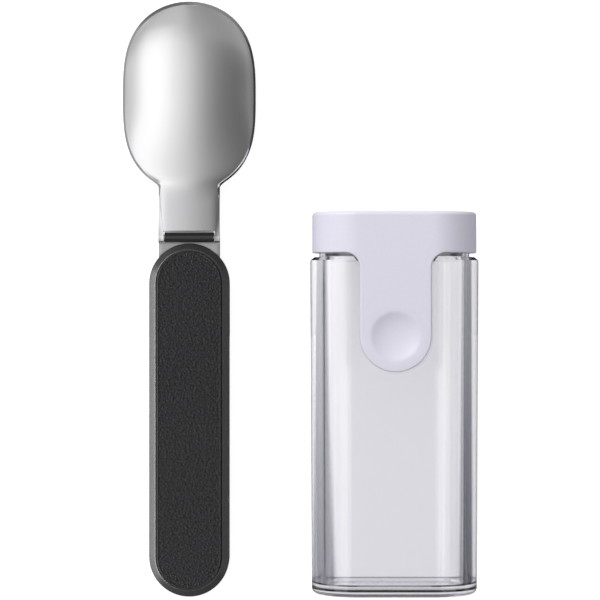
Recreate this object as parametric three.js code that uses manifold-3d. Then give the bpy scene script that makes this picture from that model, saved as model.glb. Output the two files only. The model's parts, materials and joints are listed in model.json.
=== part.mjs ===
// Folding spoon with its carry case, in millimetres, +Z up.
// The spoon lies open on its back along Y, bowl towards +Y. The closed case lies on its back beside it.
// The head turns 180 degrees on the hinge pin, until the bowl lies open side down on the handle.
import * as THREE from 'three';
import { mergeVertices } from 'three/addons/utils/BufferGeometryUtils.js';
import Module from 'manifold-3d';

const wasm = await Module();
wasm.setup();

// Fits
const clearance = 0.3; // between pieces that seat on or slide in each other
const pinPlay = 0.1; // all round the hinge pin
const foldGap = 0.3; // between the folded head and the handle

// Spoon head, one steel pressing
const bowlLength = 47.75;
const bowlWidth = 33.5;
const bowlDepth = 6.8;
const sheetThickness = 1.0;
const rimBand = 0.9; // flat ground rim, seen from above
const rimEdge = 0.35; // height of the sheet's edge at the rim
const bowlFullness = 2.4; // power of the rise from the deepest place to the tip
const leastDishShare = 0.3; // of the width, where the rim closes in at the tip
const neckLength = 13.25; // between the bowl and the handle
const neckWidth = 15.4;
const neckFillet = 3.5;
const neckDish = 0.9; // the neck is a shallow trough that runs into the bowl

// Hinge
const pivotReach = 1.55; // pin axis beyond the handle's end
const pivotRise = 0.5; // pin axis above the neck's rim
const pinRadius = 0.6;
const knuckleRadius = 1.2;
const knuckleWidth = 12.1;
const stemThickness = 1.75; // the knuckle's stem, down past the spring
const earRadius = 1.4;
const earThickness = 1.2;
const earRamp = 5.4; // how far the ears run up the neck from the pin

// Handle
const handleLength = 89;
const handleWidth = 20.2;
const handleBottomRound = 2.6;
const shellWall = 1.9;
const coverLip = 0.6; // height of the cover's edge below its bevel
const bevelWidth = 1.65;
const inlayThickness = 0.6;
const inlayRise = 0.2; // inlay above the cover's bevel
const inlayEdgeRound = 0.15;
const pegRadius = 1.2;
const pegLength = 3;
const bossWall = 1.1;
const springThickness = 0.8;
const springTangWidth = 9;
const springTangLength = 30;

// Case
const spoonPlay = 0.3; // folded spoon in its bay, along and through
const sidePlay = 2; // bowl in the bay, across
const bayDraft = 0.25; // the bay narrows this much to its floor
const bayFloorRound = 1.5;
const mouthWall = 1.0; // the neck that the lid pushes over
const lidWall = 1.5;
const lidInset = 0.1; // the body stands this much proud of the lid
const lidTop = 1.1;
const lidDepth = 10.3;
const lidGap = 1.0; // between the lid's edge and the body's shoulder
const lidEdgeRound = 1.0;
const caseFloor = 2.1;
const caseBottomRound = 1.6;
const shoulderFlare = 0.4; // the body widens this much a side up to its shoulder
const shoulderChamfer = 0.9;
const tongueWidth = 17.7;
const tongueLength = 29.5;
const tongueFillet = 3.7;
const dimpleRadius = 6;
const dimpleDepth = 1.0;

// Set, as it lies
const asideGap = 13.7; // bowl to case
const caseEndShift = 1.3; // the case's base stands this far short of the handle's end

// Smoothness
const arcSteps = 16; // faces on each half circle
const dishSteps = 14; // faces across the bowl
const neckSteps = 4; // cross-sections along the neck, and so on to the tip
const filletSteps = 4;
const heelSteps = 7;
const sideSteps = 4;
const tipSteps = 12;

// Places along the spoon
const spoonLength = handleLength + neckLength + bowlLength;
const tipY = spoonLength / 2;
const handleEndY = -spoonLength / 2;
const handleTopY = handleEndY + handleLength;
const bowlRadius = bowlWidth / 2;
const upperArcY = tipY - bowlRadius;
const lowerArcY = tipY - bowlLength + bowlRadius;
const neckHalf = neckWidth / 2;
const neckStartY = lowerArcY - Math.sqrt((bowlRadius + neckFillet) ** 2 - (neckHalf + neckFillet) ** 2);
const bowlMiddleY = (upperArcY + lowerArcY) / 2;
const pivotY = handleTopY + pivotReach;
const neckEndY = pivotY + knuckleRadius + clearance;
const stemBackY = pivotY + knuckleRadius - stemThickness;
const springEndY = handleTopY - springTangLength;
const springPegs = [(handleTopY + springEndY) / 2, springEndY + springTangWidth / 2];
const shellPegs = [(springEndY + handleEndY) / 2, handleEndY + handleWidth / 2];

// Heights of the spoon
const rimZ = bowlDepth + sheetThickness;
const pivotZ = rimZ + pivotRise;
const handleTopZ = 2 * pivotZ - rimZ - foldGap;
const springTopZ = pivotZ - earRadius - clearance;
const coverFloorZ = springTopZ + clearance;
const coverTopZ = handleTopZ - inlayRise;
const inlayFloorZ = handleTopZ - inlayThickness - clearance;

// Sizes of the case's section, an obround: half the flat, and the radius of its round sides
const bayRadius = pivotZ + spoonPlay;
const bayFlat = (bowlWidth + sidePlay) / 2 - bayRadius;
const mouthRadius = bayRadius + mouthWall;
const lidInnerRadius = mouthRadius + clearance;
const lidRadius = lidInnerRadius + lidWall;
const caseRadius = lidRadius + lidInset;
const caseWidth = 2 * (bayFlat + shoulderFlare + caseRadius);

// Places along the case
const caseBaseY = handleEndY + caseEndShift;
const bayFloorY = caseBaseY + caseFloor;
const lidCeilingY = bayFloorY + pivotY + earRadius - handleEndY + spoonPlay;
const mouthY = lidCeilingY - clearance;
const lidTopY = lidCeilingY + lidTop;
const lidEdgeY = lidTopY - lidDepth;
const shoulderY = lidEdgeY - lidGap;
const tongueEndY = lidEdgeY - tongueLength;

// Places across the set, whose middle is at X = 0
const setWidth = bowlWidth + asideGap + caseWidth;
const spoonX = (bowlWidth - setWidth) / 2;
const caseX = (setWidth - caseWidth) / 2;

// Working with solids

function solid(geometry) {
  const bare = geometry.clone();
  bare.deleteAttribute('normal');
  bare.deleteAttribute('uv');
  const merged = mergeVertices(bare, 1e-4);
  const vertProperties = new Float32Array(merged.attributes.position.array);
  const triVerts = new Uint32Array(merged.index.array);
  return new wasm.Manifold(new wasm.Mesh({ numProp: 3, vertProperties, triVerts }));
}

function piece(name, body, material) {
  const { vertProperties, triVerts } = body.getMesh();
  const geometry = new THREE.BufferGeometry();
  geometry.setAttribute('position', new THREE.BufferAttribute(vertProperties, 3));
  geometry.setIndex(new THREE.BufferAttribute(triVerts, 1));
  geometry.computeVertexNormals();
  const mesh = new THREE.Mesh(geometry, material);
  mesh.name = name;
  return mesh;
}

// A solid through rings of equally many points, closed by a strip of faces at each end.
// The rings run anticlockwise as seen from the end that the loft runs to.
function loft(rings) {
  const count = rings[0].length;
  const geometry = new THREE.BufferGeometry().setFromPoints(rings.flat());
  const index = [];
  const quad = (a, b, c, d) => index.push(a, b, c, a, c, d);
  for (let start = 0; start < (rings.length - 1) * count; start += count) {
    for (let k = 0; k < count; k++) {
      const next = (k + 1) % count;
      quad(start + k, start + next, start + count + next, start + count + k);
    }
  }
  const end = (rings.length - 1) * count;
  for (let k = 0; k < count / 2 - 1; k++) {
    const across = count - 1 - k;
    quad(k, across, across - 1, k + 1);
    quad(end + k, end + k + 1, end + across - 1, end + across);
  }
  geometry.setIndex(index);
  return solid(geometry);
}

// Points round an obround: two half circles joined by straight sides.
function obround(halfFlat, radius) {
  const points = [];
  for (const side of [1, -1]) {
    for (let step = 0; step <= arcSteps; step++) {
      const angle = (step / arcSteps - 0.5) * Math.PI;
      points.push([side * (halfFlat + radius * Math.cos(angle)), side * radius * Math.sin(angle)]);
    }
  }
  return points;
}

// Inset and rise along a quarter round, from an end face out to the full outline.
function quarterRound(radius) {
  const steps = 4;
  return Array.from({ length: steps + 1 }, (_, step) => {
    const angle = (step / steps) * Math.PI / 2;
    return { inset: radius * (1 - Math.sin(angle)), rise: radius * (1 - Math.cos(angle)) };
  });
}

// An outline in X and Y, from one height to another.
function upright(shape, fromZ, toZ) {
  const options = { depth: toZ - fromZ, bevelEnabled: false, curveSegments: arcSteps };
  return solid(new THREE.ExtrudeGeometry(shape, options).translate(0, 0, fromZ));
}

// An outline in Y and Z, from one X to another.
function crosswise(shape, fromX, toX) {
  const options = { depth: toX - fromX, bevelEnabled: false, curveSegments: arcSteps };
  const turn = new THREE.Matrix4().makeBasis(
    new THREE.Vector3(0, 1, 0),
    new THREE.Vector3(0, 0, 1),
    new THREE.Vector3(1, 0, 0),
  );
  return solid(new THREE.ExtrudeGeometry(shape, options).applyMatrix4(turn).translate(fromX, 0, 0));
}

// A round rod on the hinge axis.
function axle(radius, length) {
  const rod = new THREE.CylinderGeometry(radius, radius, length, 2 * arcSteps);
  return solid(rod.rotateZ(Math.PI / 2).translate(0, pivotY, pivotZ));
}

// A round post that stands along Z.
function post(radius, y, fromZ, toZ) {
  const rod = new THREE.CylinderGeometry(radius, radius, toZ - fromZ, arcSteps);
  return solid(rod.rotateX(Math.PI / 2).translate(0, y, (fromZ + toZ) / 2));
}

// Spoon head

// Half the head's width at a place along it, inside an inset outline.
function halfWidth(y, inset) {
  const radius = bowlRadius - inset;
  const fillet = neckFillet + inset;
  const joinY = lowerArcY - (lowerArcY - neckStartY) * radius / (bowlRadius + neckFillet);
  if (y >= upperArcY) return Math.sqrt(Math.max(0, radius ** 2 - (y - upperArcY) ** 2));
  if (y >= lowerArcY) return radius;
  if (y >= joinY) return Math.sqrt(radius ** 2 - (y - lowerArcY) ** 2);
  if (y >= neckStartY) return neckHalf + neckFillet - Math.sqrt(fillet ** 2 - (y - neckStartY) ** 2);
  return neckHalf - inset;
}

// Depth on the centre line: a long S out of the neck's trough, then a round rise to the tip.
function dishDepth(y, neckDepth, depth, endY) {
  if (y >= endY) return 0;
  if (y >= bowlMiddleY) return depth * (1 - ((y - bowlMiddleY) / (endY - bowlMiddleY)) ** bowlFullness);
  const along = Math.max(0, (y - neckStartY) / (bowlMiddleY - neckStartY));
  return neckDepth + (depth - neckDepth) * (1 - Math.cos(Math.PI * along)) / 2;
}

// One cross-section of the head: over the top from left to right, back along the underside.
function headRing(y) {
  const outer = halfWidth(y, 0);
  const inner = Math.max(halfWidth(y, rimBand), leastDishShare * outer);
  const inside = dishDepth(y, neckDish, bowlDepth, tipY - rimBand);
  const backing = sheetThickness - rimEdge;
  const outside = dishDepth(y, neckDish + backing, bowlDepth + backing, tipY);
  const shares = Array.from({ length: dishSteps + 1 }, (_, step) => 2 * step / dishSteps - 1);
  const dish = shares.map((u) => new THREE.Vector3(u * inner, y, rimZ - inside * (1 - u * u)));
  const back = [-1, ...shares.map((u) => u * inner / outer), 1].map((u) => (
    new THREE.Vector3(u * outer, y, rimZ - rimEdge - outside * (1 - u * u))));
  const top = [new THREE.Vector3(-outer, y, rimZ), ...dish, new THREE.Vector3(outer, y, rimZ)];
  return [...top, ...back.reverse()];
}

// Places along the head where a cross-section is taken, closer together where the outline turns.
function headStations() {
  const tipAngle = 1.525; // just short of a right angle, so that the tip keeps some width
  const spread = (from, to, steps) => (
    Array.from({ length: steps }, (_, step) => from + (to - from) * step / steps));
  const joinY = lowerArcY - (lowerArcY - neckStartY) * bowlRadius / (bowlRadius + neckFillet);
  const joinAngle = Math.asin((joinY - lowerArcY) / bowlRadius);
  return [
    ...spread(neckEndY, neckStartY, neckSteps),
    ...spread(neckStartY, joinY, filletSteps),
    ...spread(joinAngle, 0, heelSteps).map((angle) => lowerArcY + bowlRadius * Math.sin(angle)),
    ...spread(lowerArcY, upperArcY, sideSteps),
    ...spread(0, tipAngle, tipSteps).map((angle) => upperArcY + bowlRadius * Math.sin(angle)),
    tipY - rimBand,
    upperArcY + bowlRadius * Math.sin(tipAngle),
  ].sort((a, b) => a - b);
}

// The ears rise from the neck's sides and end in a round about the pin.
function ear() {
  const rampY = pivotY + earRamp;
  const toRamp = Math.hypot(earRamp, pivotRise);
  const tangent = Math.acos(earRadius / toRamp) - Math.atan2(pivotRise, earRamp);
  const shape = new THREE.Shape();
  shape.moveTo(rampY, rimZ - rimEdge);
  shape.lineTo(rampY, rimZ);
  shape.absarc(pivotY, pivotZ, earRadius, tangent, 1.5 * Math.PI);
  return crosswise(shape, neckHalf - earThickness, neckHalf);
}

function spoonHead(material) {
  const right = ear();
  const body = loft(headStations().map(headRing))
    .add(right)
    .add(right.mirror([1, 0, 0]))
    .subtract(axle(pinRadius + pinPlay, neckWidth + 2 * clearance));
  return piece('spoon_head', body, material);
}

function hingePin(material) {
  return piece('hinge_pin', axle(pinRadius, neckWidth), material);
}

// Handle

// The handle's outline, drawn in, at one height.
function handleRing(inset, z, topY = handleTopY, endY = handleEndY) {
  const radius = handleWidth / 2;
  const halfFlat = (topY - endY) / 2 - radius;
  const middleY = (topY + endY) / 2;
  return obround(halfFlat, radius - inset).map(([a, b]) => new THREE.Vector3(-b, middleY + a, z));
}

// The leaf spring's outline: a tang inside the handle, a wide front and two fingers under the ears.
function springOutline(grow) {
  const frontY = stemBackY - clearance + grow;
  const tang = springTangWidth / 2 + grow;
  const half = neckHalf + grow;
  const finger = neckHalf - earThickness - grow;
  const shoulder = handleTopY - handleWidth / 2;
  const shape = new THREE.Shape();
  shape.moveTo(half, shoulder - grow);
  shape.lineTo(half, pivotY + grow);
  shape.lineTo(finger, pivotY + grow);
  shape.lineTo(finger, frontY);
  shape.lineTo(-finger, frontY);
  shape.lineTo(-finger, pivotY + grow);
  shape.lineTo(-half, pivotY + grow);
  shape.lineTo(-half, shoulder - grow);
  shape.lineTo(-tang, shoulder - grow - (half - tang));
  shape.absarc(0, springEndY + springTangWidth / 2, tang, Math.PI, 2 * Math.PI);
  shape.lineTo(tang, shoulder - grow - (half - tang));
  return shape;
}

function backSpring(material) {
  let body = upright(springOutline(0), springTopZ - springThickness, springTopZ);
  for (const y of springPegs) {
    body = body.subtract(post(pegRadius + clearance, y, 0, handleTopZ));
  }
  return piece('back_spring', body, material);
}

// The knuckle's barrel on its stem, which passes in front of the spring and runs back under it.
function knuckle() {
  const frontY = pivotY + knuckleRadius;
  const backAngle = 2 * Math.PI - Math.acos((stemBackY - pivotY) / knuckleRadius);
  const rootY = handleTopY - handleWidth / 2;
  const footZ = springTopZ - springThickness - 2 * clearance;
  const soleZ = handleBottomRound;
  const shape = new THREE.Shape();
  shape.moveTo(rootY, soleZ);
  shape.lineTo(frontY - stemThickness / 2, soleZ);
  shape.lineTo(frontY, soleZ + stemThickness / 2);
  shape.lineTo(frontY, pivotZ);
  shape.absarc(pivotY, pivotZ, knuckleRadius, 0, backAngle);
  shape.lineTo(stemBackY, footZ);
  shape.lineTo(rootY, footZ);
  return crosswise(shape, -knuckleWidth / 2, knuckleWidth / 2);
}

function handleRearShell(material) {
  const under = quarterRound(handleBottomRound).map(({ inset, rise }) => handleRing(inset, rise));
  const pocketTopY = springEndY - clearance; // before the wall is taken off
  let body = loft([...under, handleRing(0, springTopZ)])
    .subtract(loft([
      handleRing(shellWall, shellWall, pocketTopY),
      handleRing(shellWall, handleTopZ, pocketTopY),
    ]));
  for (const y of shellPegs) {
    const rootZ = shellWall / 2;
    body = body.add(post(pegRadius + clearance + bossWall, y, rootZ, springTopZ));
  }
  const recessZ = springTopZ - springThickness - clearance;
  body = body.subtract(upright(springOutline(clearance), recessZ, handleTopZ)).add(knuckle());
  for (const y of [...springPegs, ...shellPegs]) {
    const bottomZ = coverFloorZ - pegLength - clearance;
    body = body.subtract(post(pegRadius + clearance, y, bottomZ, handleTopZ));
  }
  body = body.subtract(axle(pinRadius + pinPlay, neckWidth));
  return piece('handle_rear_shell', body, material);
}

function handleFrontCover(material) {
  let body = loft([
    handleRing(0, coverFloorZ),
    handleRing(0, coverFloorZ + coverLip),
    handleRing(bevelWidth, coverTopZ),
  ]).subtract(loft([handleRing(bevelWidth, inlayFloorZ), handleRing(bevelWidth, handleTopZ)]));
  for (const y of [...springPegs, ...shellPegs]) {
    body = body.add(post(pegRadius, y, coverFloorZ - pegLength, inlayFloorZ));
  }
  return piece('handle_front_cover', body, material);
}

function gripInlay(material) {
  const inset = bevelWidth + clearance;
  const body = loft([
    handleRing(inset, inlayFloorZ + clearance),
    handleRing(inset, handleTopZ - inlayEdgeRound),
    handleRing(inset + inlayEdgeRound, handleTopZ),
  ]);
  return piece('grip_inlay', body, material);
}

// Case

// A loft along the case from sections given as place, half flat and radius.
function alongCase(sections) {
  const rings = sections.map(({ y, halfFlat, radius }) => (
    obround(halfFlat, radius).map(([a, b]) => new THREE.Vector3(-a, y, caseRadius + b))));
  return loft(rings);
}

// The tongue's outline, from the lid's edge down to its round end, grown by its clearance.
function tongueOutline(grow, topY) {
  const half = tongueWidth / 2 + grow;
  const fillet = tongueFillet - grow;
  const filletX = half + fillet;
  const filletY = lidEdgeY - tongueFillet;
  const endCentreY = tongueEndY + tongueWidth / 2;
  const shape = new THREE.Shape();
  shape.moveTo(filletX, topY);
  shape.lineTo(-filletX, topY);
  shape.lineTo(-filletX, filletY + fillet);
  shape.absarc(-filletX, filletY, fillet, Math.PI / 2, 0, true);
  shape.absarc(0, endCentreY, half, Math.PI, 2 * Math.PI);
  shape.absarc(filletX, filletY, fillet, Math.PI, Math.PI / 2, true);
  return shape;
}

// The mouth's outside carries on under the tongue as the floor of the tongue's recess.
function caseBody(material) {
  const base = quarterRound(caseBottomRound).map(({ inset, rise }) => (
    { y: caseBaseY + rise, halfFlat: bayFlat, radius: caseRadius - inset }));
  const topFlat = bayFlat + shoulderFlare;
  const bayEnd = quarterRound(bayFloorRound).map(({ inset, rise }) => (
    { y: bayFloorY + rise, halfFlat: bayFlat - bayDraft, radius: bayRadius - inset }));
  const recess = upright(tongueOutline(clearance, lidTopY), caseRadius, 2 * caseRadius + clearance)
    .subtract(alongCase([
      { y: caseBaseY, halfFlat: bayFlat, radius: mouthRadius },
      { y: lidTopY + clearance, halfFlat: bayFlat, radius: mouthRadius },
    ]));
  const body = alongCase([
    ...base,
    { y: shoulderY - shoulderChamfer, halfFlat: topFlat, radius: caseRadius },
    { y: shoulderY, halfFlat: topFlat, radius: caseRadius - shoulderChamfer },
    { y: shoulderY, halfFlat: bayFlat, radius: mouthRadius },
    { y: mouthY, halfFlat: bayFlat, radius: mouthRadius },
  ])
    .subtract(alongCase([...bayEnd, { y: lidTopY, halfFlat: bayFlat, radius: bayRadius }]))
    .subtract(recess);
  return piece('case_body', body, material);
}

// The tongue is a strip of the lid's own wall, carried on below its edge.
function caseLid(material) {
  const top = quarterRound(lidEdgeRound).reverse().map(({ inset, rise }) => (
    { y: lidTopY - rise, halfFlat: bayFlat, radius: lidRadius - inset }));
  const frontZ = caseRadius + lidRadius;
  const rootY = lidEdgeY + lidWall;
  const belowY = tongueEndY - lidGap;
  const tongue = alongCase([
    { y: belowY, halfFlat: bayFlat, radius: lidRadius },
    { y: rootY, halfFlat: bayFlat, radius: lidRadius },
  ]).intersect(upright(tongueOutline(0, rootY), caseRadius, frontZ + clearance));
  const body = alongCase([{ y: lidEdgeY, halfFlat: bayFlat, radius: lidRadius }, ...top])
    .add(tongue)
    .subtract(alongCase([
      { y: belowY, halfFlat: bayFlat, radius: lidInnerRadius },
      { y: lidCeilingY, halfFlat: bayFlat, radius: lidInnerRadius },
    ]))
    .subtract(thumbDimple(frontZ));
  return piece('case_lid', body, material);
}

// A shallow round hollow for the thumb, centred on the tongue's round end.
function thumbDimple(frontZ) {
  const steps = 6;
  const reach = (dimpleRadius ** 2 + dimpleDepth ** 2) / (2 * dimpleDepth);
  const opening = Math.asin(dimpleRadius / reach);
  const arc = Array.from({ length: steps + 1 }, (_, step) => {
    const angle = (step / steps) * opening;
    return new THREE.Vector2(reach * Math.sin(angle), reach - dimpleDepth - reach * Math.cos(angle));
  });
  const profile = [...arc, new THREE.Vector2(dimpleRadius, lidWall), new THREE.Vector2(0, lidWall)];
  const hollow = new THREE.LatheGeometry(profile, 2 * arcSteps).rotateX(Math.PI / 2);
  return solid(hollow.translate(0, tongueEndY + tongueWidth / 2, frontZ));
}

// Finishes
const steel = () => new THREE.MeshStandardMaterial({ color: 0xc4c6ca, metalness: 1, roughness: 0.28 });
const black = () => new THREE.MeshStandardMaterial({ color: 0x343437, metalness: 0, roughness: 0.55 });
const grip = () => new THREE.MeshStandardMaterial({ color: 0x37373a, metalness: 0, roughness: 0.75 });
const white = () => new THREE.MeshStandardMaterial({ color: 0xd9d7e6, metalness: 0, roughness: 0.4 });
const clear = () => new THREE.MeshStandardMaterial({
  color: 0xdedde4, metalness: 0, roughness: 0.08, transparent: true, opacity: 0.35,
});

const spoon = new THREE.Group();
spoon.position.x = spoonX;
spoon.add(
  spoonHead(steel()),
  hingePin(steel()),
  backSpring(steel()),
  handleRearShell(black()),
  handleFrontCover(black()),
  gripInlay(grip()),
);

const carryCase = new THREE.Group();
carryCase.position.x = caseX;
carryCase.add(caseBody(clear()), caseLid(white()));

const set = new THREE.Group();
set.add(spoon, carryCase);

export default set;
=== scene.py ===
import json
import math

import bmesh
import bpy
from mathutils import Matrix, Vector
from mathutils.geometry import delaunay_2d_cdt


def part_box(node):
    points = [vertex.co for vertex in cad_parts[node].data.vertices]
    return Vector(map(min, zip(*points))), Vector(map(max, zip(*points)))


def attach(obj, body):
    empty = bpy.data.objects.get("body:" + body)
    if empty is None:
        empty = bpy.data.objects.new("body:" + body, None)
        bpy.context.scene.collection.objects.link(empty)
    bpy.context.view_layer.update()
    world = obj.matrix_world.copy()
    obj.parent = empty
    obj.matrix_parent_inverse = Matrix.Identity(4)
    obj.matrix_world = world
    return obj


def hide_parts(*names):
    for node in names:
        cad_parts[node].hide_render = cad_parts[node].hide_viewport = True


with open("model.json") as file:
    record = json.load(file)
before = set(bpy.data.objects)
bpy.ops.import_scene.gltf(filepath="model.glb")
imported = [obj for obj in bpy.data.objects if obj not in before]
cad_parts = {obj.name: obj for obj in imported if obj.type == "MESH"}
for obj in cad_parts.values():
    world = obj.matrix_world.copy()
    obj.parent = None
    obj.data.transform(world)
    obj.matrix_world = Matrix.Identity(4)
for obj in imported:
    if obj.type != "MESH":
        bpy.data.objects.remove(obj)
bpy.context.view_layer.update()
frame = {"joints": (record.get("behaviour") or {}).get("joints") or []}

mm = 0.001  # pieces are drawn in millimetres about X = 0, then put in their place in metres


def nodeBox(node):
    low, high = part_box(node)
    return Vector(low) / mm, Vector(high) / mm


headLow, headHigh = nodeBox("spoon_head")
pinLow, pinHigh = nodeBox("hinge_pin")
springLow, springHigh = nodeBox("back_spring")
coverLow, coverHigh = nodeBox("handle_front_cover")
padLow, padHigh = nodeBox("grip_inlay")
caseLow, caseHigh = nodeBox("case_body")
lidLow, lidHigh = nodeBox("case_lid")
joints = {joint["name"]: joint for joint in frame["joints"]}
pivot = Vector(joints["fold"]["pos_m"]) / mm
spoonX = pivot.x
caseX = (caseLow.x + caseHigh.x) / 2


# from the first value to the second, for numbers and for node values
def blend(start, end, share):
    return start + (end - start) * share


# Node helpers

def forwards(operation):
    return lambda self, *others: self.calc(operation, self, *others)


def backwards(operation):
    return lambda self, other: self.calc(operation, other, self)


class Term:
    # one value in a node tree, so that a rule can be written as plain arithmetic
    def __init__(self, tree, socket):
        self.tree = tree
        self.socket = socket

    def calc(self, operation, *values):
        node = self.tree.nodes.new("ShaderNodeMath")
        node.operation = operation
        for socket, value in zip(node.inputs, values):
            link(self.tree, value, socket)
        return Term(self.tree, node.outputs[0])

    __add__ = forwards("ADD")
    __sub__ = forwards("SUBTRACT")
    __rsub__ = backwards("SUBTRACT")
    __mul__ = forwards("MULTIPLY")
    __truediv__ = forwards("DIVIDE")
    __rtruediv__ = backwards("DIVIDE")
    __pow__ = forwards("POWER")
    over = forwards("GREATER_THAN")
    atLeast = forwards("MAXIMUM")
    atMost = forwards("MINIMUM")
    root = forwards("SQRT")
    cosine = forwards("COSINE")
    rounded = forwards("ROUND")
    size = forwards("ABSOLUTE")
    side = forwards("SIGN")

    def clamped(self):
        return self.atLeast(0).atMost(1)

    def eased(self):
        return (1 - (self * math.pi).cosine()) / 2


# from a term, another node's socket or a plain number
def link(tree, source, target):
    if isinstance(source, (int, float)):
        target.default_value = source
    else:
        tree.links.new(source.socket if isinstance(source, Term) else source, target)


def setInputs(node, values):
    for label, value in values.items():
        node.inputs[label].default_value = value


weld = {"rule": 0.001, "loft": 0.0001, "lid": 0.001, "lidFlat": 0.00001}  # corners this close become one


def addSocket(tree, label, way, kind):
    tree.interface.new_socket(label, in_out=way, socket_type="NodeSocket" + kind)


def ruleTree(name, sizes):
    tree = bpy.data.node_groups.new(name, "GeometryNodeTree")
    for label, value in sizes.items():
        addSocket(tree, label, "INPUT", "Int" if isinstance(value, int) else "Float")
    addSocket(tree, "Finish", "INPUT", "Material")
    addSocket(tree, "Geometry", "OUTPUT", "Geometry")
    entry = tree.nodes.new("NodeGroupInput")
    terms = {label: Term(tree, entry.outputs[label]) for label in sizes}
    return tree, entry, terms


# a unit grid whose columns run round the piece and whose rows run along it
def ringGrid(tree, ringSteps, rows):
    grid = tree.nodes.new("GeometryNodeMeshGrid")
    setInputs(grid, {"Size X": 1, "Size Y": 1})
    link(tree, ringSteps + 1, grid.inputs["Vertices X"])
    link(tree, rows + 1, grid.inputs["Vertices Y"])
    split = tree.nodes.new("ShaderNodeSeparateXYZ")
    link(tree, tree.nodes.new("GeometryNodeInputPosition").outputs[0], split.inputs[0])
    step = ((Term(tree, split.outputs["X"]) + 0.5) * ringSteps).rounded()
    step = step - ringSteps * step.over(ringSteps - 0.5)  # the last column closes on the first
    along = Term(tree, split.outputs["Y"]) + 0.5
    return grid.outputs["Mesh"], step, along


# which columns lie on the top, and each column's share of the way across, -1 to 1
def ringSides(step, across, backSteps):
    isTop = (across + 0.5).over(step)
    topShare = step * 2 / across - 1
    backShare = 1 - (step - across - 1) * 2 / backSteps
    return isTop, blend(backShare, topShare, isTop)


def endTree(tree, entry, mesh, x, y, z):
    place = tree.nodes.new("ShaderNodeCombineXYZ")
    for term, socket in zip((x, y, z), place.inputs):
        link(tree, term, socket)
    move = tree.nodes.new("GeometryNodeSetPosition")
    merge = tree.nodes.new("GeometryNodeMergeByDistance")
    finish = tree.nodes.new("GeometryNodeSetMaterial")
    link(tree, place.outputs[0], move.inputs["Position"])
    setInputs(merge, {"Distance": weld["rule"]})
    link(tree, entry.outputs["Finish"], finish.inputs["Material"])
    for node in (move, merge, finish):
        link(tree, mesh, node.inputs["Geometry"])
        mesh = node.outputs[0]
    link(tree, mesh, tree.nodes.new("NodeGroupOutput").inputs[0])


# Mesh helpers

def addObject(name, mesh):
    piece = bpy.data.objects.new(name, mesh)
    bpy.context.scene.collection.objects.link(piece)
    return piece


def plainMesh(piece):
    graph = bpy.context.evaluated_depsgraph_get()
    mesh = bpy.data.meshes.new_from_object(piece.evaluated_get(graph))
    old = piece.data
    piece.modifiers.clear()
    piece.data = mesh
    bpy.data.meshes.remove(old)


def grow(name, tree, sizes, finish):
    piece = addObject(name, bpy.data.meshes.new(name))
    modifier = piece.modifiers.new("rule", "NODES")
    modifier.node_group = tree
    for item in tree.interface.items_tree:
        if item.in_out == "INPUT":
            modifier[item.identifier] = finish if item.name == "Finish" else sizes[item.name]
    plainMesh(piece)
    return piece


def solidObject(name, shape):
    mesh = bpy.data.meshes.new(name)
    bmesh.ops.recalc_face_normals(shape, faces=shape.faces)
    shape.to_mesh(mesh)
    shape.free()
    return addObject(name, mesh)


def combine(piece, operation, *tools):
    for tool in tools:
        modifier = piece.modifiers.new("combine", "BOOLEAN")
        modifier.operation = operation
        modifier.solver = "EXACT"
        modifier.object = tool
        plainMesh(piece)
        bpy.data.objects.remove(tool)


def fuse(piece, name, shape):
    combine(piece, "UNION", solidObject(name, shape))


def cutOut(piece, name, shape):
    combine(piece, "DIFFERENCE", solidObject(name, shape))


def soften(piece, width, segments=3, angle=50):
    modifier = piece.modifiers.new("soften", "BEVEL")
    modifier.width = width
    modifier.segments = segments
    modifier.limit_method = "ANGLE"
    modifier.angle_limit = math.radians(angle)
    plainMesh(piece)


def finishPiece(piece, x, finish, body, slot, *nodes, sharp=35, flats=True):
    mesh = piece.data
    mesh.transform(Matrix.Scale(mm, 4) @ Matrix.Translation((x, 0, 0)))
    mesh.shade_smooth()
    mesh.set_sharp_from_angle(angle=math.radians(sharp))
    if flats:
        # broad faces keep their own direction where they meet a round
        mesh.update()
        modifier = piece.modifiers.new("flats", "WEIGHTED_NORMAL")
        modifier.keep_sharp = True
        plainMesh(piece)
        mesh = piece.data
    mesh.materials.clear()
    mesh.materials.append(finish)
    mesh.name = piece.name
    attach(piece, body)
    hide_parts(*nodes)
    shape = bmesh.new()
    shape.from_mesh(mesh)
    openEdges = sum(not edge.is_manifold for edge in shape.edges)
    print(piece.name, "faces", len(shape.faces), "open edges", openEdges)
    shape.free()


def arc(centre, radius, fromAngle, toAngle, steps):
    turns = [math.radians(fromAngle + (toAngle - fromAngle) * step / steps) for step in range(steps + 1)]
    return [(centre[0] + radius * math.cos(turn), centre[1] + radius * math.sin(turn)) for turn in turns]


def circle(centre, radius, steps):
    return arc(centre, radius, 0, 360 - 360 / steps, steps - 1)


# inset and rise of a quarter round, from an end face out to the full outline
def quarterRound(radius, steps):
    turns = [math.pi / 2 * step / steps for step in range(steps + 1)]
    return [(radius * (1 - math.sin(turn)), radius * (1 - math.cos(turn))) for turn in turns]


def obround(halfFlat, radius, steps=48):
    right = arc((halfFlat, 0), radius, -90, 90, steps)
    return right + [(-a, -b) for a, b in right]


# faces between rows of points, which close into rings where asked
def skin(shape, loops, closed=False):
    rows = [[shape.verts.new(point) for point in loop] for loop in loops]
    count = len(rows[0])
    for low, high in zip(rows, rows[1:]):
        for k in range(count if closed else count - 1):
            after = (k + 1) % count
            shape.faces.new((low[k], low[after], high[after], high[k]))
    return rows


def loft(rings):
    shape = bmesh.new()
    rows = skin(shape, rings, closed=True)
    shape.faces.new(rows[0][::-1])
    shape.faces.new(rows[-1])
    bmesh.ops.remove_doubles(shape, verts=shape.verts, dist=weld["loft"])
    return shape


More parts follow.
